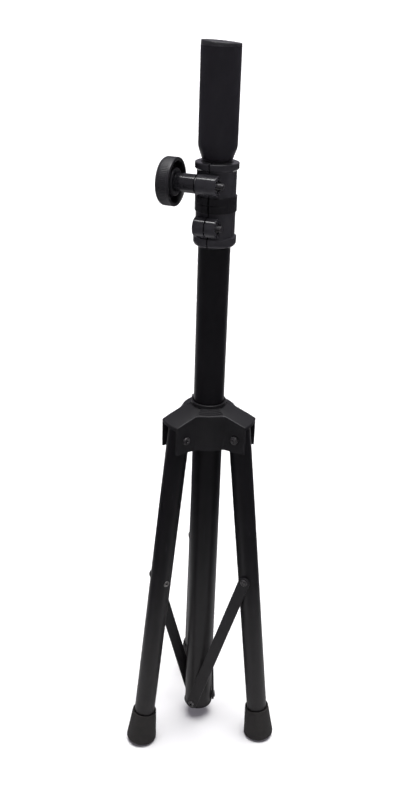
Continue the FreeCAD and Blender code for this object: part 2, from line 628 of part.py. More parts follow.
def brace_bar():
    """Flat bar with round ends, leaning in from the mast's side to the leg's."""
    end = BRACE_W / 2.0
    low = BRACE_FOOT_GAP
    high = BRACE_HEAD_GAP
    length = BRACE_LEN
    path = [(-low, -end), (-low, 9.0), (-high, length - 9.0), (-high, length + end),
            (-high - BRACE_T, length + end), (-high - BRACE_T, length - 9.0), (-low - BRACE_T, 9.0),
            (-low - BRACE_T, -end), (-low, -end)]
    profile = Part.makePolygon([V(-end, y, z) for y, z in path])
    strip = Part.Face(profile).extrude(V(BRACE_W, 0, 0))
    plan = block(-end, end, -30, 0, 0, length)
    for z in (0, length):
        plan = plan.fuse(rod(end, (0, -30, z), (0, 0, z)))
    bar = strip.common(plan)
    bar = bar.makeFillet(0.35, [e for e in bar.Edges if not is_across(e)])
    for z in (0, length):
        bar = bar.cut(rod(BRACE_PIN_R + RUN, (0, -30, z), (0, 0, z)))
    return brace_place(bar)


def brace_rivet():
    """The brace's upper rivet head; its shank ends short of the leg, where the linkage is open."""
    shank = rod(BRACE_PIN_R, (0, 0, BRACE_HEAD_GAP), (0, 0, BRACE_HEAD_GAP + BRACE_T + 0.3))
    head = domed_head(RIVET_HEAD_R, 0.8, 0.9)
    head.translate(V(0, 0, BRACE_HEAD_GAP + BRACE_T + 0.05))
    return brace_place(along(shank.fuse(head).removeSplitter(), (0, 0, BRACE_LEN), (0, -1, 0)))


def main():
    os.makedirs("parts", exist_ok=True)
    single = [pole_head, head_cap, inner_pole, head_spacer, pole_glide, mast_tube, mast_end_plug,
              brace_lower_rivets, height_collar, pole_bush, collar_nuts, lower_clamp_bolt, knob_washer,
              knob_sleeve, clamp_knob, knob_bolt, leg_hub, hub_bush, lock_insert, lock_screw,
              pivot_bolts, pivot_nuts]
    for make in single:
        save(make.__name__, make())
    repeated = {"leg_{}": leg_tube, "leg_bush_{}": leg_bush, "leg_rivet_{}": leg_rivet,
                "foot_{}": foot, "brace_{}": brace_bar, "brace_rivet_{}": brace_rivet}
    for pattern, make in repeated.items():
        shape = make()
        for side, azimuth in AZIMUTHS.items():
            save(pattern.format(side), turned(shape, azimuth))


main()
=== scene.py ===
import bpy
import bmesh
import math
from mathutils import Matrix, Vector


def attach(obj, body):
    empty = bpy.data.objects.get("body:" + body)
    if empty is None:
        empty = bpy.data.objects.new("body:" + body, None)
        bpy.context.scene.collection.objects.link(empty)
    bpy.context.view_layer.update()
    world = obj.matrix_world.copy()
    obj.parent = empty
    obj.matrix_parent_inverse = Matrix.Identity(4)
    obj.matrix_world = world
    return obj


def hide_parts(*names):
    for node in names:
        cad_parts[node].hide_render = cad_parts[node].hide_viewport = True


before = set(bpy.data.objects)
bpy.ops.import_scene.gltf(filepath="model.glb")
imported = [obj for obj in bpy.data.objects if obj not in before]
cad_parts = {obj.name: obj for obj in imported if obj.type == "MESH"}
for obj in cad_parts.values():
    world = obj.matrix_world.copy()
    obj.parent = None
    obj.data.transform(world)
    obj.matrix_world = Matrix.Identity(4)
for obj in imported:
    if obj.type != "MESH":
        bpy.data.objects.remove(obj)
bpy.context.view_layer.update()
SCENE = bpy.context.scene
MM = 0.001


# ---------------------------------------------------------------- camera
# The view is from in front, a little to the left, looking down.
CAM_AZIMUTH = -95.8         # where the camera stands, degrees round the mast
CAM_DISTANCE = 0.8008       # from the mast's axis, metres
CAM_HEIGHT = 0.7802         # metres above the floor
CAM_DOWN = 25.12            # degrees below the horizon
CAM_PAN = -0.51             # degrees off the line to the mast
CAM_ROLL = 1.86             # degrees, the right side up
LENS = 40.15                # millimetres, on a 36 mm sensor


def make_camera():
    """The camera, turned round the mast as one with its pan, tilt and roll."""
    pan, down, roll = (math.radians(a) for a in (CAM_PAN, CAM_DOWN, CAM_ROLL))
    look = Vector((math.sin(pan) * math.cos(down), math.cos(pan) * math.cos(down), -math.sin(down)))
    side = look.cross(Vector((0, 0, 1))).normalized()
    over = side.cross(look)
    right = side * math.cos(roll) + over * math.sin(roll)
    up = over * math.cos(roll) - side * math.sin(roll)
    axes = Matrix((right, up, -look)).transposed().to_4x4()
    place = Matrix.Translation(Vector((0, -CAM_DISTANCE, CAM_HEIGHT))) @ axes
    camera = bpy.data.objects.new("camera", bpy.data.cameras.new("camera"))
    camera.data.lens = LENS
    camera.data.sensor_width = 36.0
    camera.data.clip_start = 0.01
    camera.matrix_world = Matrix.Rotation(math.radians(CAM_AZIMUTH + 90), 4, "Z") @ place
    SCENE.collection.objects.link(camera)
    SCENE.camera = camera


make_camera()


# ---------------------------------------------------------------- materials
class Nodes:
    """Short calls for building one node material."""

    def __init__(self, name, base, rough, metallic=0.0, specular=0.4):
        self.mat = bpy.data.materials.new(name)
        self.mat.use_nodes = True
        self.tree = self.mat.node_tree
        self.shader = self.tree.nodes["Principled BSDF"]
        self.set("Base Color", (*base, 1.0))
        self.set("Roughness", rough)
        self.set("Metallic", metallic)
        self.set("Specular IOR Level", specular)
        self.mat.diffuse_color = (*base, 1.0)
        self.coords = self.add("ShaderNodeTexCoord").outputs["Object"]

    def set(self, socket, value):
        """Give a shader socket one value all over."""
        self.shader.inputs[socket].default_value = value

    def add(self, kind, **settings):
        """A new node with these settings."""
        node = self.tree.nodes.new(kind)
        for key, value in settings.items():
            setattr(node, key, value)
        return node

    def link(self, out, socket):
        self.tree.links.new(out, socket)

    def stretched(self, stretch):
        """The object's own space, scaled along each axis."""
        mapping = self.add("ShaderNodeMapping")
        mapping.inputs["Scale"].default_value = stretch
        self.link(self.coords, mapping.inputs["Vector"])
        return mapping.outputs["Vector"]

    def noise(self, scale, detail=3.0, rough=0.5, stretch=(1, 1, 1)):
        """Noise in the object's own space; scale is per metre."""
        node = self.add("ShaderNodeTexNoise")
        node.inputs["Scale"].default_value = scale
        node.inputs["Detail"].default_value = detail
        node.inputs["Roughness"].default_value = rough
        self.link(self.stretched(stretch), node.inputs["Vector"])
        return node.outputs["Fac"]

    def cells(self, scale):
        """Distance to the nearest cell's centre; scale is per metre."""
        node = self.add("ShaderNodeTexVoronoi")
        node.inputs["Scale"].default_value = scale
        self.link(self.coords, node.inputs["Vector"])
        return node.outputs["Distance"]

    def height(self):
        """Height above the floor when the stand is folded."""
        node = self.add("ShaderNodeSeparateXYZ")
        self.link(self.coords, node.inputs["Vector"])
        return node.outputs["Z"]

    def ramp(self, fac, stops):
        """A colour or grey ramp: stops are (position, value or colour)."""
        node = self.add("ShaderNodeValToRGB")
        ramp = node.color_ramp
        while len(ramp.elements) < len(stops):
            ramp.elements.new(0.5)
        for element, (position, value) in zip(ramp.elements, stops):
            element.position = position
            colour = value if isinstance(value, tuple) else (value, value, value)
            element.color = (*colour, 1.0)
        self.link(fac, node.inputs["Fac"])
        return node.outputs["Color"]

    def span(self, fac, low, high, from_low=0.0, from_high=1.0):
        """Map from_low..from_high to low..high, held at both ends."""
        node = self.add("ShaderNodeMapRange")
        node.inputs["From Min"].default_value = from_low
        node.inputs["From Max"].default_value = from_high
        node.inputs["To Min"].default_value = low
        node.inputs["To Max"].default_value = high
        self.link(fac, node.inputs["Value"])
        return node.outputs["Result"]

    def math(self, operation, *values):
        """One sum of numbers or node outputs."""
        node = self.add("ShaderNodeMath", operation=operation)
        for value, socket in zip(values, node.inputs):
            if isinstance(value, (int, float)):
                socket.default_value = value
            else:
                self.link(value, socket)
        return node.outputs["Value"]

    def mix(self, fac, a, b):
        """Mix two colours by a mask."""
        node = self.add("ShaderNodeMix", data_type="RGBA")
        sockets = [s for s in node.inputs if s.enabled]
        for value, socket in zip((fac, a, b), sockets):
            if isinstance(value, tuple):
                socket.default_value = (*value, 1.0)
            else:
                self.link(value, socket)
        return [s for s in node.outputs if s.enabled][0]

    def rounded(self, radius):
        """The surface direction with edges eased by this radius."""
        node = self.add("ShaderNodeBevel", samples=6)
        node.inputs["Radius"].default_value = radius
        return node.outputs["Normal"]

    def edges(self, radius):
        """A mask of the edges, 1 on the edge itself."""
        face = self.add("ShaderNodeNewGeometry")
        node = self.add("ShaderNodeVectorMath", operation="DOT_PRODUCT")
        self.link(self.rounded(radius), node.inputs[0])
        self.link(face.outputs["Normal"], node.inputs[1])
        return self.span(node.outputs["Value"], 1.0, 0.0, 0.80, 0.99)

    def bump(self, height, distance, strength, after):
        """Raise the surface by height times distance (metres), on top of the direction after."""
        node = self.add("ShaderNodeBump")
        node.inputs["Distance"].default_value = distance
        node.inputs["Strength"].default_value = strength
        self.link(height, node.inputs["Height"])
        self.link(after, node.inputs["Normal"])
        return node.outputs["Normal"]

    def to(self, socket, out):
        """Drive a shader socket by a node's output."""
        self.link(out, self.shader.inputs[socket])


def times(colour, factor):
    """A colour, lighter or darker."""
    return tuple(min(1.0, c * factor) for c in colour)


BLACK = (0.0034, 0.0031, 0.0042)
CHARCOAL = (0.0078, 0.0076, 0.0086)
# Painted light: a paler, warmer tone for the coat low down, standing in for light bounced up from the floor.
BOUNCE_TONE = (0.0290, 0.0262, 0.0250)
BOUNCE_Z = (0.04, 0.24)       # painted bounce light from the floor thins out between these heights, metres
SHADE_BAND_Z = (0.5944, 0.6082)   # the collar's painted shade between its two clamps, metres


def powder_coat(name, base, rough, grain=1.0, dust_and_bounce=0.5):
    """Satin black powder coat: orange peel, cloudy tone, fine lengthwise scratches,
    rubbed edges, and painted bounce light: a paler, warmer tone towards the floor."""
    n = Nodes(name, base, rough, specular=0.34)
    cloud = n.noise(35.0, 4.0, 0.6)
    tone = n.ramp(cloud, [(0.3, base), (0.72, times(base, 1.5))])
    streaks = n.noise(520.0, 2.0, 0.5, stretch=(1.0, 1.0, 0.045))
    scratch = n.ramp(streaks, [(0.665, 0.0), (0.71, 0.5)])
    patch = n.ramp(n.noise(22.0, 3.0, 0.6), [(0.50, 0.0), (0.62, 1.0)])
    marks = n.math("MULTIPLY", scratch, patch)
    uneven = n.ramp(n.noise(240.0, 4.0, 0.7), [(0.4, 0.25), (0.6, 0.9)])
    rub = n.math("MULTIPLY", n.edges(0.0006), uneven)
    tone = n.mix(n.math("MAXIMUM", marks, rub), tone, times(base, 7.0))
    # Painted bounce light: the coat turns paler and warmer towards the floor, in patches.
    low = n.span(n.height(), dust_and_bounce, 0.0, *BOUNCE_Z)
    patches = n.ramp(n.noise(70.0, 5.0, 0.65), [(0.25, 0.55), (0.7, 1.0)])
    n.to("Base Color", n.mix(n.math("MULTIPLY", low, patches), tone, BOUNCE_TONE))
    gloss = n.span(cloud, rough - 0.06, rough + 0.08)
    n.to("Roughness", n.math("ADD", gloss, n.math("MULTIPLY", marks, 0.3)))
    peel = n.noise(2400.0, 2.0, 0.5)
    wave = n.noise(420.0, 2.0, 0.4)
    normal = n.bump(peel, 0.00003 * grain, 0.6, n.rounded(0.0004))
    n.to("Normal", n.bump(wave, 0.00006 * grain, 0.5, normal))
    return n.mat


def moulded(name, base, rough, grain=1.0, specular=0.40, shade_band=None):
    """Moulded plastic: spark-eroded grain, mottled tone, edges rubbed lighter. The optional band is
    a stretch of height darkened as painted shade."""
    n = Nodes(name, base, rough, specular=specular)
    cloud = n.noise(60.0, 4.0, 0.6)
    speck = n.noise(1500.0, 2.0, 0.7)
    mottle = n.math("ADD", n.math("MULTIPLY", cloud, 0.6), n.math("MULTIPLY", speck, 0.4))
    tone = n.ramp(mottle, [(0.35, base), (0.66, times(base, 1.55))])
    uneven = n.ramp(n.noise(380.0, 4.0, 0.7), [(0.38, 0.25), (0.62, 0.6)])
    tone = n.mix(n.math("MULTIPLY", n.edges(0.0006), uneven), tone, times(base, 4.5))
    # Painted shade: the stretch of height between the collar's two clamps is darkened.
    if shade_band is not None:
        low, high = shade_band
        inside = n.math("COMPARE", n.height(), (low + high) / 2, (high - low) / 2)
        tone = n.mix(inside, tone, times(base, 0.5))
    n.to("Base Color", tone)
    n.to("Roughness", n.span(cloud, rough - 0.06, rough + 0.10))
    normal = n.bump(speck, 0.00004 * grain, 0.6, n.rounded(0.0004))
    n.to("Normal", n.bump(n.cells(1400.0), 0.00006 * grain, 0.7, normal))
    return n.mat


def rubber(name, base):
    """Dull rubber: fine matt grain, dusty patches, paler edges."""
    n = Nodes(name, base, 0.66, specular=0.34)
    dust_and_bounce = n.noise(90.0, 5.0, 0.65)
    tone = n.ramp(dust_and_bounce, [(0.38, base), (0.75, times(base, 1.8))])
    n.to("Base Color", n.mix(n.math("MULTIPLY", n.edges(0.0008), 0.5), tone, times(base, 2.6)))
    n.to("Roughness", n.span(dust_and_bounce, 0.60, 0.78))
    grain = n.noise(1800.0, 3.0, 0.7)
    n.to("Normal", n.bump(grain, 0.00007, 0.8, n.rounded(0.0005)))
    return n.mat


def metal(name, base, rough, worn):
    """Blackened or plain steel, rubbed bright on its edges and in spots."""
    n = Nodes(name, base, rough, metallic=0.85)
    spots = n.ramp(n.noise(300.0, 4.0, 0.7), [(0.42, 0.0), (0.72, 0.6)])
    bright = n.math("MAXIMUM", spots, n.math("MULTIPLY", n.edges(0.0005), 0.9))
    n.to("Base Color", n.mix(bright, base, tuple(c + worn for c in base)))
    n.to("Roughness", n.span(bright, rough + 0.1, rough - 0.06))
    fine = n.noise(1500.0, 2.0, 0.6)
    n.to("Normal", n.bump(fine, 0.00003, 0.6, n.rounded(0.0003)))
    return n.mat


coat = powder_coat("black_powder_coat", times(BLACK, 0.9), 0.36)
# The pole head's coat is the mast's powder coat with a lighter base: a painted reflection.
head_coat_painted_reflection = powder_coat("head_powder_coat_painted_reflection", times(BLACK, 2.4), 0.36, dust_and_bounce=0.0)
brace_coat = powder_coat("brace_powder_coat", times(BLACK, 1.3), 0.44)
pole_coat = powder_coat("pole_coat", BLACK, 0.30, 0.4, dust_and_bounce=0.0)
hub_plastic = moulded("hub_plastic", times(CHARCOAL, 0.98), 0.44, specular=0.26)
# The bead's plastic is the hub's plastic made lighter: a painted highlight along the roof edges.
painted_highlight_bead = moulded("painted_highlight_bead", times(CHARCOAL, 2.6), 0.34, 0.2)
collar_plastic = moulded("collar_plastic", times(CHARCOAL, 2.2), 0.15, 0.12, 0.26, shade_band=SHADE_BAND_Z)
knob_plastic = moulded("knob_plastic", times(CHARCOAL, 1.45), 0.36)
sleeve_plastic = moulded("sleeve_plastic", times(CHARCOAL, 1.2), 0.14, 0.06, 0.42)
bush_plastic = moulded("bush_plastic", times(CHARCOAL, 0.8), 0.36, 0.5)
cap_plastic = moulded("cap_plastic", times(CHARCOAL, 1.9), 0.38)
plug_plastic = moulded("plug_plastic", CHARCOAL, 0.50)
nylon = moulded("nylon", (0.016, 0.016, 0.016), 0.48, 0.5)
foot_rubber = rubber("foot_rubber", (0.0120, 0.0108, 0.0100))
rivet_steel = metal("rivet_steel", (0.045, 0.043, 0.044), 0.36, 0.35)
rolled_steel = metal("rolled_steel", (0.16, 0.155, 0.15), 0.30, 0.40)
bolt_steel = metal("bolt_steel", (0.040, 0.039, 0.040), 0.32, 0.30)
insert_brass = metal("insert_brass", (0.50, 0.36, 0.15), 0.32, 0.2)

LOOKS = {
    "pole_head": head_coat_painted_reflection, "head_cap": cap_plastic, "inner_pole": pole_coat, "head_spacer": nylon,
    "pole_glide": nylon, "mast_tube": coat, "mast_end_plug": plug_plastic,
    "brace_lower_rivets": rivet_steel, "height_collar": collar_plastic, "pole_bush": nylon,
    "collar_nuts": bolt_steel, "lower_clamp_bolt": bolt_steel, "knob_washer": bolt_steel,
    "knob_sleeve": sleeve_plastic, "clamp_knob": knob_plastic, "knob_bolt": bolt_steel,
    "leg_hub": hub_plastic, "hub_bush": bush_plastic, "lock_insert": insert_brass,
    "lock_screw": knob_plastic, "pivot_bolts": rivet_steel, "pivot_nuts": rivet_steel,
}
for side in ("left", "right", "rear"):
    LOOKS["leg_" + side] = coat
    LOOKS["leg_bush_" + side] = plug_plastic
    LOOKS["leg_rivet_" + side] = bolt_steel
    LOOKS["foot_" + side] = foot_rubber
    LOOKS["brace_" + side] = brace_coat
    LOOKS["brace_rivet_" + side] = rivet_steel

for node, look in LOOKS.items():
    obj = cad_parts[node]
    obj.data.materials.clear()
    obj.data.materials.append(look)


# ---------------------------------------------------------------- places of the pieces
# Dimensions below are the design's own, in millimetres.
COLLAR_TURN = 243.7         # compass angle of the collar's slit, degrees
LUG_OUT = 20.5              # the clamp bolts' axes, from the mast's axis
KNOB_Z = 619.9              # upper clamp
LOWER_Z = 582.8             # lower clamp
BOLT_R = 3.0
BOLT_END = 14.4             # how far the knob's bolt reaches past the slit
LOWER_BOLT_END = 14.0
PLAIN_TO = 3.0              # the bolts are plain up to here, and threaded from here on
PITCH = 1.0
THREAD_DEPTH = 0.5
KNOB_R = 21.4
KNOB_NEAR = 29.2            # the knob's open side, from the slit
KNOB_FAR = 42.6             # its closed side
KNOB_BOSS_R = 12.2
KNOB_RIBS = 84

HEAD_END_Z = 732.8          # the pole head's end, under the cap
CAP_R = 17.4
CAP_T = 1.7
CAP_TILT = 4.0              # degrees, up on the -X side

HUB_R = 27.0                # where the walls between the arms meet the arms' walls
HUB_EDGE_Z = 398.4          # the roof's height at that radius
HUB_CURVE_R = 45.0          # the slightly bowed walls between the arms
ARM_HALF = 13.4
ARM_END = 47.5              # the arms' ends, from the mast's axis
ARM_END_Z = 390.7           # the roof's height there
BEAD_R = 0.46
BEAD_INSET = 0.34           # the bead's line, in from the wall
BEAD_SINK = 0.36            # and below the roof

PIVOT_OUT = 35.0            # leg pivot from the mast's axis
PIVOT_Z = 374.7
LEG_SPLAY = 6.5             # degrees from the mast, folded
LEG_R = 11.1
BRACE_ON_LEG = 165.4        # brace pivot from the leg's own pivot
FOOT_TOP_R = 13.2
FOOT_BOTTOM_R = 16.5
FOOT_LEN = 38.4
FOOT_ROUND = 3.5            # rounding of the foot's lower edge
FOOT_SOLE = 7.0             # rubber below the tube's end
AZIMUTHS = {"left": 210.0, "right": 330.0, "rear": 90.0}

# The foot's underside in the leg's frame: the splayed foot's rounded edge stands on the floor.
EDGE_DROP = (FOOT_BOTTOM_R - FOOT_ROUND) * math.sin(math.radians(LEG_SPLAY)) + FOOT_ROUND
SOLE = -((PIVOT_Z - EDGE_DROP) / math.cos(math.radians(LEG_SPLAY)) + FOOT_ROUND)


def shift(x, y, z):
    return Matrix.Translation(Vector((x, y, z)))


def spin(degrees, axis):
    return Matrix.Rotation(math.radians(degrees), 4, axis)


def bolt_place(z):
    """The clamp bolts' frame: the slit at its origin, +Z towards the nut."""
    return spin(COLLAR_TURN, "Z") @ shift(LUG_OUT, 0, z) @ spin(-90, "X")


def leg_place(side):
    """A leg's own frame: the pivot at its origin, the tube down -Z, outside +X."""
    return spin(AZIMUTHS[side], "Z") @ shift(PIVOT_OUT, 0, PIVOT_Z) @ spin(-LEG_SPLAY, "Y")


def add_piece(name, points, faces, look, body, slot, *nodes, sharp=32):
    """A mesh piece from points in millimetres that rides on a body and stands for nodes."""
    mesh = bpy.data.meshes.new(name)
    mesh.from_pydata([Vector(p) * MM for p in points], [], faces)
    tool = bmesh.new()
    tool.from_mesh(mesh)
    bmesh.ops.remove_doubles(tool, verts=tool.verts, dist=1e-6)
    bmesh.ops.recalc_face_normals(tool, faces=tool.faces)
    tool.to_mesh(mesh)
    tool.free()
    mesh.shade_smooth()
    mesh.set_sharp_from_angle(angle=math.radians(sharp))
    mesh.materials.append(look)
    piece = bpy.data.objects.new(name, mesh)
    SCENE.collection.objects.link(piece)
    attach(piece, body)
    if nodes:
        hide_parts(*nodes)
    return piece


def ringed(rings):
    """A closed skin over rings of equal size, the end rings filled."""
    size = len(rings[0])
    points = [p for ring in rings for p in ring]
    faces = []
    for i in range(len(rings) - 1):
        for j in range(size):
            k = (j + 1) % size
            faces.append((i * size + j, i * size + k, (i + 1) * size + k, (i + 1) * size + j))
    faces.append(tuple(range(size)))
    faces.append(tuple((len(rings) - 1) * size + j for j in range(size)))
    return points, faces


def turned(profile, place, count, radius=None):
    """Turn an open (radius, z) profile about the frame's Z. radius may change it by angle."""
    rings = []
    for r, z in profile:
        ring = []
        for j in range(count):
            angle = 2 * math.pi * j / count
            at = r if radius is None else radius(r, z, angle)
            ring.append(place @ Vector((at * math.cos(angle), at * math.sin(angle), z)))
        rings.append(ring)
    return ringed(rings)


def arc(centre, radius, start, end, steps):
    """Profile points on an arc; angles in degrees."""
    points = []
    for i in range(steps + 1):
        angle = math.radians(start + (end - start) * i / steps)
        points.append((centre[0] + radius * math.cos(angle), centre[1] + radius * math.sin(angle)))
    return points


# ---------------------------------------------------------------- knob and clamp bolts
def make_knob():
    """Cup-shaped hand knob: ribbed rim between two plain lips, dished back, boss in the cup."""
    back, near = -KNOB_FAR, -KNOB_NEAR

    def ribbed(r, z, angle):
        on_rim = r > KNOB_R - 0.6 and back + 4.2 < z < near - 2.6
        return r - 0.28 * (0.5 - 0.5 * math.cos(KNOB_RIBS * angle)) if on_rim else r

    profile = [(0.0, back + 1.4), (3.4, back + 1.4), (3.8, back + 1.1), (4.6, back + 1.1), (5.0, back + 1.5)]
    profile += [(9.0, back + 1.6), (13.4, back + 1.2), (14.6, back + 0.4)]
    profile += arc((KNOB_R - 5.2, back + 0.75), 0.75, 250, 290, 3)
    profile += arc((KNOB_R - 3.6, back + 3.5), 3.5, -80, -8, 8)
    profile += [(KNOB_R - 0.02, back + 4.0), (KNOB_R - 0.30, back + 4.15), (KNOB_R - 0.02, back + 4.5)]
    profile += [(KNOB_R - 0.02, back + 4.9 + 0.9 * k) for k in range(7)]
    profile += [(KNOB_R - 0.02, near - 2.75), (KNOB_R - 0.30, near - 2.45), (KNOB_R, near - 2.2)]
    profile += arc((KNOB_R - 1.0, near - 1.0), 1.0, 0, 90, 6)
    profile += arc((KNOB_R - 2.3, near - 0.5), 0.5, 90, 180, 4)
    profile += [(KNOB_R - 3.0, near - 2.0), (KNOB_R - 3.6, back + 6.5)]
    profile += arc((KNOB_R - 5.2, back + 6.0), 1.6, 0, -90, 5)
    profile += [(13.2, back + 4.4), (12.7, back + 5.2)]
    profile += arc((KNOB_BOSS_R - 0.7, near - 1.3), 0.7, 0, 90, 4)
    profile += [(10.2, near - 0.6), (9.8, near - 1.1), (3.2, near - 1.1)]
    points, faces = turned(profile, bolt_place(KNOB_Z), 4 * KNOB_RIBS, ribbed)
    add_piece("knob_cup", points, faces, knob_plastic, "knob", "knob_plastic", "clamp_knob", sharp=40)


def threaded(start, end, place, count):
    """Rings of a bolt's shank, threaded from PLAIN_TO to its end, with an eased tip."""
    rings = []
    steps = int(round((end - PLAIN_TO) / (PITCH / 8)))
    levels = [start, (start + PLAIN_TO) / 2]
    levels += [PLAIN_TO + (end - PLAIN_TO) * i / steps for i in range(steps + 1)]
    for z in levels:
        ring = []
        for j in range(count):
            angle = 2 * math.pi * j / count
            turn = (z / PITCH - angle / (2 * math.pi)) % 1.0
            run_in = min(1.0, max(0.0, (z - PLAIN_TO) / PITCH))
            cut = THREAD_DEPTH * min(1.0, 1.35 * abs(2 * turn - 1)) * run_in
            at = min(BOLT_R - cut, BOLT_R - 0.75 + (end - z))
            ring.append(place @ Vector((at * math.cos(angle), at * math.sin(angle), z)))
        rings.append(ring)
    return rings


def make_clamp_bolts():
    """The knob's long bolt and the lower clamp's socket-head bolt, with cut threads."""
    points, faces = ringed(threaded(-KNOB_FAR + 2.6, BOLT_END, bolt_place(KNOB_Z), 40))
    add_piece("knob_bolt_thread", points, faces, bolt_steel, "knob", "bolt_steel", "knob_bolt", sharp=50)

    place = bolt_place(LOWER_Z)
    under, top = -6.8, -11.8
    # radius, how hexagonal the ring is, height
    head = [(2.5, 0.0, top + 2.9), (2.5, 1.0, top + 2.9), (2.5, 1.0, top + 0.3)]
    head += [(2.9, 0.6, top), (4.6, 0.0, top), (5.2, 0.0, top + 0.6)]
    head += [(5.2, 0.0, under - 0.2), (5.0, 0.0, under), (3.0, 0.0, under)]
    rings = []
    for r, hexed, z in head:
        ring = []
        for j in range(48):
            angle = 2 * math.pi * j / 48
            flat = math.cos(((angle + math.pi / 6) % (math.pi / 3)) - math.pi / 6)
            at = r * (1 - hexed) + hexed * r / flat
            ring.append(place @ Vector((at * math.cos(angle), at * math.sin(angle), z)))
        rings.append(ring)
    rings[0] = [place @ Vector((0, 0, top + 2.9))] * 48
    rings += threaded(under + 0.1, LOWER_BOLT_END, place, 48)
    points, faces = ringed(rings)
    add_piece("lower_bolt_thread", points, faces, bolt_steel, "mast", "bolt_steel",
              "lower_clamp_bolt", sharp=40)


# ---------------------------------------------------------------- head cap
def make_cap():
    """The askew cap: level on the tube's end, its top leaning, a rolled rim a little ragged."""
    foot = HEAD_END_Z + 0.1
    top = foot + CAP_T
    lean = shift(CAP_R, 0, foot) @ spin(CAP_TILT, "Y") @ shift(-CAP_R, 0, -foot)
    below = [(0.0, foot), (13.4, foot), (13.4, foot - 4.8), (15.4, foot - 4.8), (15.5, foot - 4.6)]
    below += [(15.5, foot - 0.05), (CAP_R - 0.3, foot - 0.05), (CAP_R, foot + 0.25)]
    above = arc((CAP_R - 0.75, top - 0.75), 0.75, 0, 90, 6)
    above += [(CAP_R - 1.5, top - 0.06), (CAP_R - 2.1, top - 0.30), (CAP_R - 3.2, top - 0.38)]
    above += [(9.0, top - 0.34), (4.0, top - 0.30), (2.2, top - 0.30), (1.9, top - 0.42), (0.0, top - 0.42)]
    rings = []
    for number, (r, z) in enumerate(below + above):
        ring = []
        for j in range(144):
            angle = 2 * math.pi * j / 144
            wave = math.sin(11 * angle + 0.6) * math.sin(23 * angle) + 0.5 * math.sin(41 * angle + 1.0)
            side = max(0.0, -math.cos(angle - 0.35))
            ragged = 0.10 * side * (1.0 + wave) if number > len(below) and r > CAP_R - 1.6 else 0.0
            at = Vector(((r - ragged) * math.cos(angle), (r - ragged) * math.sin(angle), z - 1.5 * ragged))
            ring.append(lean @ at if number >= len(below) else at)
        rings.append(ring)
    points, faces = ringed(rings)
    add_piece("cap_rim", points, faces, cap_plastic, "pole", "cap_plastic", "head_cap")


# ---------------------------------------------------------------- hub
def hub_roof(radius):
    """The sloping roof's height at a distance from the mast's axis."""
    return HUB_EDGE_Z + (HUB_EDGE_Z - ARM_END_Z) / (ARM_END - HUB_R) * (HUB_R - radius)


def smooth_line(points, rounds):
    """Cut each inner corner of a line into a curve that starts rounds[i] before it."""
    line = [points[0]]
    for i in range(1, len(points) - 1):
        a, b, c = points[i - 1], points[i], points[i + 1]
        cut = rounds[i]
        if cut <= 0:
            line.append(b)
            continue
        start = b + (a - b).normalized() * cut
        end = b + (c - b).normalized() * cut
        for k in range(7):
            t = k / 6
            line.append(start * (1 - t) ** 2 + b * 2 * t * (1 - t) + end * t * t)
    return line + [points[-1]]


def swept(line):
    """Rings of a round bead along a line of points, thinner at both ends."""
    count = 10
    rings = []
    for i, at in enumerate(line):
        way = (line[min(i + 1, len(line) - 1)] - line[max(i - 1, 0)]).normalized()
        side = way.cross(Vector((0, 0, 1)))
        side = side.normalized() if side.length > 0.05 else Vector((1, 0, 0))
        over = side.cross(way).normalized()
        size = BEAD_R * (0.35 if i in (0, len(line) - 1) else 1.0)
        ring = []
        for j in range(count):
            angle = 2 * math.pi * j / count
            ring.append(at + (side * math.cos(angle) + over * math.sin(angle)) * size)
        rings.append(ring)
    return rings


def make_hub_beads():
    """The moulded bead along the hub's roof edges: arm, front wall, arm, three times. Its lighter plastic is
    a painted highlight.
    """
    reach = math.sqrt(HUB_R ** 2 - ARM_HALF ** 2)
    centre = reach - math.sqrt(HUB_CURVE_R ** 2 - ARM_HALF ** 2)
    end_x = math.sqrt((ARM_END - 0.9) ** 2 - ARM_HALF ** 2)
    for index, azimuth in enumerate(AZIMUTHS.values()):
        front = azimuth + 60.0
        points, rounds = [], []

        def put(x, y, drop, cut, turn):
            place = spin(turn, "Z")
            z = hub_roof(math.hypot(x, y)) - drop
            points.append(place @ Vector((x, y, z)))
            rounds.append(cut)

        near = ARM_HALF - BEAD_INSET
        for x in (end_x, 38.0, 30.0):
            put(x, near, BEAD_SINK, 0, azimuth)
        put(reach + 0.4, near, BEAD_SINK, 1.9, azimuth)
        for y in (-10.4, -7.0, -3.5, 0.0, 3.5, 7.0, 10.4):
            put(centre + math.sqrt((HUB_CURVE_R - BEAD_INSET) ** 2 - y * y), y, BEAD_SINK + 0.2, 0, front)
        put(reach + 0.4, -near, BEAD_SINK, 1.9, azimuth + 120)
        for x in (30.0, 38.0, end_x):
            put(x, -near, BEAD_SINK, 0, azimuth + 120)
        points, faces = ringed(swept(smooth_line(points, rounds)))
        add_piece("hub_edge_bead_%d" % index, points, faces, painted_highlight_bead, "hub", "hub_plastic", sharp=60)


# ---------------------------------------------------------------- rivets and feet
def make_leg_rivets():
    """Tubular rivets across the legs, their ends rolled over into a ring."""
    for side in AZIMUTHS:
        place = leg_place(side) @ shift(0, 0, -BRACE_ON_LEG) @ spin(90, "X")
        out = -LEG_R - 0.1
        profile = [(0.0, out + 4.2), (1.45, out + 4.2), (1.5, out + 4.0), (1.5, out)]
        profile += arc((2.05, out - 0.25), 0.55, 180, 290, 6)
        profile += arc((2.75, out - 0.15), 0.55, 280, 360, 5)
        profile += [(3.25, out + 0.1), (2.2, out + 0.1), (2.2, 10.8), (1.9, 10.8), (0.0, 10.8)]
        points, faces = turned(profile, place, 48)
        add_piece("rolled_rivet_" + side, points, faces, rolled_steel, side + "_leg", "bolt_steel",
                  "leg_rivet_" + side, sharp=45)


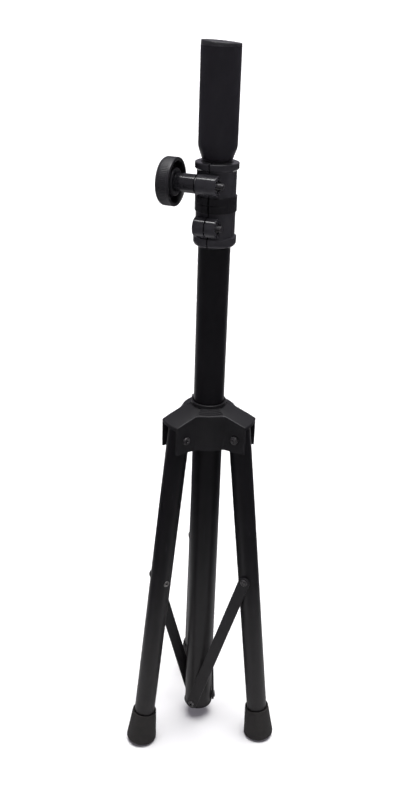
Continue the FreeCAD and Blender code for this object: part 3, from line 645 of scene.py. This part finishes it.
def make_feet():
    """Tapered rubber feet: a lip at the top, mould seams down the sides, a ringed sole."""
    top = SOLE + FOOT_LEN

    def seamed(r, z, angle):
        on_side = r >= LEG_R + 1.2 and z >= SOLE + 3.0
        on_seam = abs(math.sin(angle)) < 0.012
        return r - 0.10 if on_side and not on_seam else r

    profile = [(0.0, SOLE + 0.9), (1.8, SOLE + 0.9), (2.2, SOLE + 0.5)]
    for r in (3.2, 6.0, 8.8):
        profile += [(r, SOLE + 0.02), (r + 1.5, SOLE + 0.02), (r + 1.8, SOLE + 0.8), (r + 2.4, SOLE + 0.8)]
    profile += [(11.6, SOLE + 0.02)]
    profile += arc((FOOT_BOTTOM_R - FOOT_ROUND, SOLE + FOOT_ROUND), FOOT_ROUND - 0.02, -88, -4, 10)
    slope = (FOOT_BOTTOM_R - FOOT_TOP_R) / (FOOT_LEN - FOOT_ROUND)
    for up in (5.5, 9.0, 14.0, 19.0, 24.0, 29.0, 33.0, 35.2):
        profile.append((FOOT_BOTTOM_R - slope * (up - FOOT_ROUND), SOLE + up))
    profile += [(FOOT_TOP_R + 0.22, top - 2.9), (FOOT_TOP_R + 0.12, top - 2.6)]
    profile += arc((FOOT_TOP_R - 0.55, top - 0.6), 0.6, 0, 120, 6)
    profile += [(LEG_R + 0.9, top - 0.3), (LEG_R + 0.8, top - 1.6), (LEG_R + 0.05, top - 2.4)]
    profile += [(LEG_R + 0.05, SOLE + FOOT_SOLE - 0.05), (0.0, SOLE + FOOT_SOLE - 0.05)]
    for side in AZIMUTHS:
        points, faces = turned(profile, leg_place(side), 160, seamed)
        add_piece("rubber_foot_" + side, points, faces, foot_rubber, side + "_leg", "foot_rubber",
                  "foot_" + side, sharp=38)


make_knob()
make_clamp_bolts()
make_cap()
make_hub_beads()
make_leg_rivets()
make_feet()


# ---------------------------------------------------------------- floor and light
# name, how far behind the stand, half its width, height above the floor, tone
STAGES = (("floor", 0.0, 200.0, 0.0, 0.90),
          ("sheet", 0.0, 0.32, 0.0002, 0.42),
          ("card", 1.7, 1.1, 0.0002, 0.42))
PAPER = (1.0, 0.995, 0.985)
SKY_COLOUR = (0.92, 0.87, 1.0, 1.0)
SKY_STRENGTH = (0.08, 0.32)     # below and above the horizon
HORIZON = 0.15                  # half the band where one turns into the other
SUN_PLACE = (0.05, 0.02, 1.0)
SUN_STRENGTH = 4.2
SUN_ANGLE = 42.0                # degrees across
GLINT_PLACE = (-0.55, -0.03, 2.0)
GLINT_TARGET = (0.0, 0.0, 0.6)
GLINT_SIZE = 0.12
GLINT_POWER = 3.6


def make_floor():
    """A wide pale floor that runs out of sight, and the pale sheets the stand's gloss picks up:
    one under it, and one behind that lightens the tubes' sides."""
    for name, back, size, lift, tone in STAGES:
        mesh = bpy.data.meshes.new(name)
        corners = [(-size, back - size, lift), (size, back - size, lift),
                   (size, back + size, lift), (-size, back + size, lift)]
        mesh.from_pydata(corners, [], [(0, 1, 2, 3)])
        plane = bpy.data.objects.new(name, mesh)
        n = Nodes(name + "_paper", times(PAPER, tone), 0.85, specular=0.2)
        n.to("Base Color", n.ramp(n.noise(6.0), [(0.3, times(PAPER, tone)), (0.7, tone)]))
        mesh.materials.append(n.mat)
        SCENE.collection.objects.link(plane)
        plane.visible_glossy = name != "floor"
        plane.visible_camera = name == "floor"
        plane.visible_diffuse = name == "floor"
        plane.visible_shadow = name == "floor"


def make_world():
    """A pale sky that is dim below the horizon."""
    world = bpy.data.worlds.new("studio")
    world.use_nodes = True
    tree = world.node_tree
    background = tree.nodes["Background"]
    background.inputs["Color"].default_value = SKY_COLOUR
    way = tree.nodes.new("ShaderNodeTexCoord")
    split = tree.nodes.new("ShaderNodeSeparateXYZ")
    shade = tree.nodes.new("ShaderNodeMapRange")
    shade.inputs["From Min"].default_value = -HORIZON
    shade.inputs["From Max"].default_value = HORIZON
    shade.inputs["To Min"].default_value = SKY_STRENGTH[0]
    shade.inputs["To Max"].default_value = SKY_STRENGTH[1]
    tree.links.new(way.outputs["Generated"], split.inputs["Vector"])
    tree.links.new(split.outputs["Z"], shade.inputs["Value"])
    tree.links.new(shade.outputs["Result"], background.inputs["Strength"])
    SCENE.world = world


def aimed(data, place, target):
    """Put a light at place, facing target."""
    light = bpy.data.objects.new(data.name, data)
    way = Vector(target) - Vector(place)
    turn = way.to_track_quat("-Z", "Y").to_matrix().to_4x4()
    light.matrix_world = Matrix.Translation(Vector(place)) @ turn
    SCENE.collection.objects.link(light)
    return light


def make_lights():
    """A broad soft light from above, and a small one that only glossy rays see, for the
    streaks along the clamps."""
    sun = bpy.data.lights.new("sky", "SUN")
    sun.energy = SUN_STRENGTH
    sun.angle = math.radians(SUN_ANGLE)
    aimed(sun, SUN_PLACE, (0, 0, 0))
    glint = bpy.data.lights.new("glint", "AREA")
    glint.size = GLINT_SIZE
    glint.energy = GLINT_POWER
    aimed(glint, GLINT_PLACE, GLINT_TARGET).visible_diffuse = False


make_floor()
make_world()
make_lights()
SCENE.view_settings.view_transform = "Standard"
